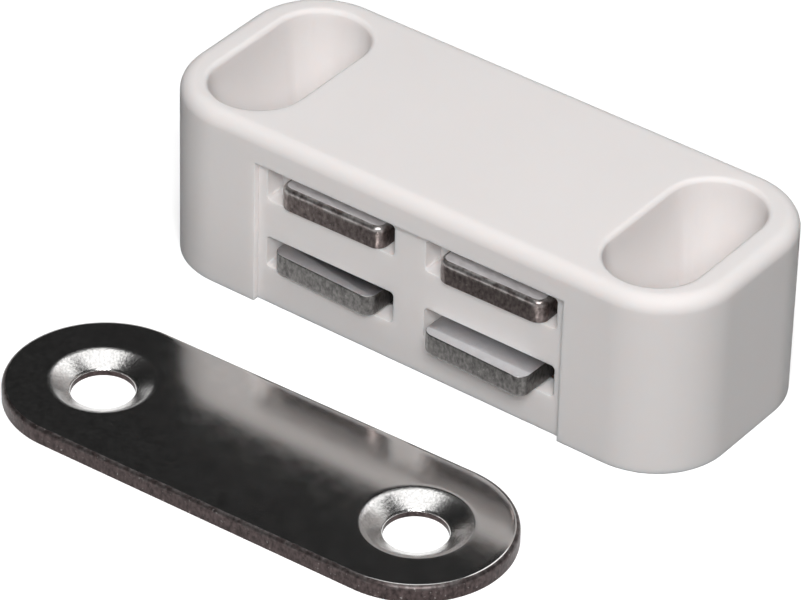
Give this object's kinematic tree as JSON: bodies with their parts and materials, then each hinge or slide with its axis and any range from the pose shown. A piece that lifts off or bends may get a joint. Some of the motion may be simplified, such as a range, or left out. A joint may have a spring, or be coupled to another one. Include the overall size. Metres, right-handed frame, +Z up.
{
  "type": "double magnetic cupboard catch with strike plate",
  "caption": "White plastic magnetic cupboard catch: steel pole plates in front windows, oval screw wells in the top, and a flat countersunk strike plate for the door.",
  "frame": {"origin": "centre of the housing's flat underside, the face that is screwed to the cupboard", "axes": "+X along the housing, -Y is the front where the pole plates come out towards the door, +Z up from the mounting face"},
  "size_m": [0.057, 0.0503, 0.0179],
  "materials": {
    "white_plastic": "satin moulded",
    "ferrite": "matt pressed and sintered",
    "pole_steel": "zinc plated, sheared edges",
    "bright_steel": "bright zinc plated"
  },
  "bodies": {
    "case": {"housing": "white_plastic", "rear_cover": "white_plastic", "strike_plate": "bright_steel"},
    "left_pack": {"magnet_left": "ferrite"},
    "right_pack": {"magnet_right": "ferrite"},
    "upper_left": {"upper_left_pole": "pole_steel"},
    "lower_left": {"lower_left_pole": "pole_steel"},
    "upper_right": {"upper_right_pole": "pole_steel"},
    "lower_right": {"lower_right_pole": "pole_steel"}
  },
  "joints": [
    {"name": "left_pack_slide", "type": "slide", "parent": "case", "child": "left_pack", "axis": [0, -1, 0], "range_m": [-0.0004, 0.0004]},
    {"name": "right_pack_slide", "type": "slide", "parent": "case", "child": "right_pack", "axis": [0, -1, 0], "range_m": [-0.0004, 0.0004]},
    {"name": "upper_left_slide", "type": "slide", "parent": "left_pack", "child": "upper_left", "axis": [0, -1, 0], "range_m": [-0.00033, 0.00239]},
    {"name": "lower_left_slide", "type": "slide", "parent": "left_pack", "child": "lower_left", "axis": [0, -1, 0], "range_m": [-0.00066, 0.00176]},
    {"name": "upper_right_slide", "type": "slide", "parent": "right_pack", "child": "upper_right", "axis": [0, -1, 0], "range_m": [-0.00049, 0.00219]},
    {"name": "lower_right_slide", "type": "slide", "parent": "right_pack", "child": "lower_right", "axis": [0, -1, 0], "range_m": [-0.00195, 0.00055]}
  ]
}
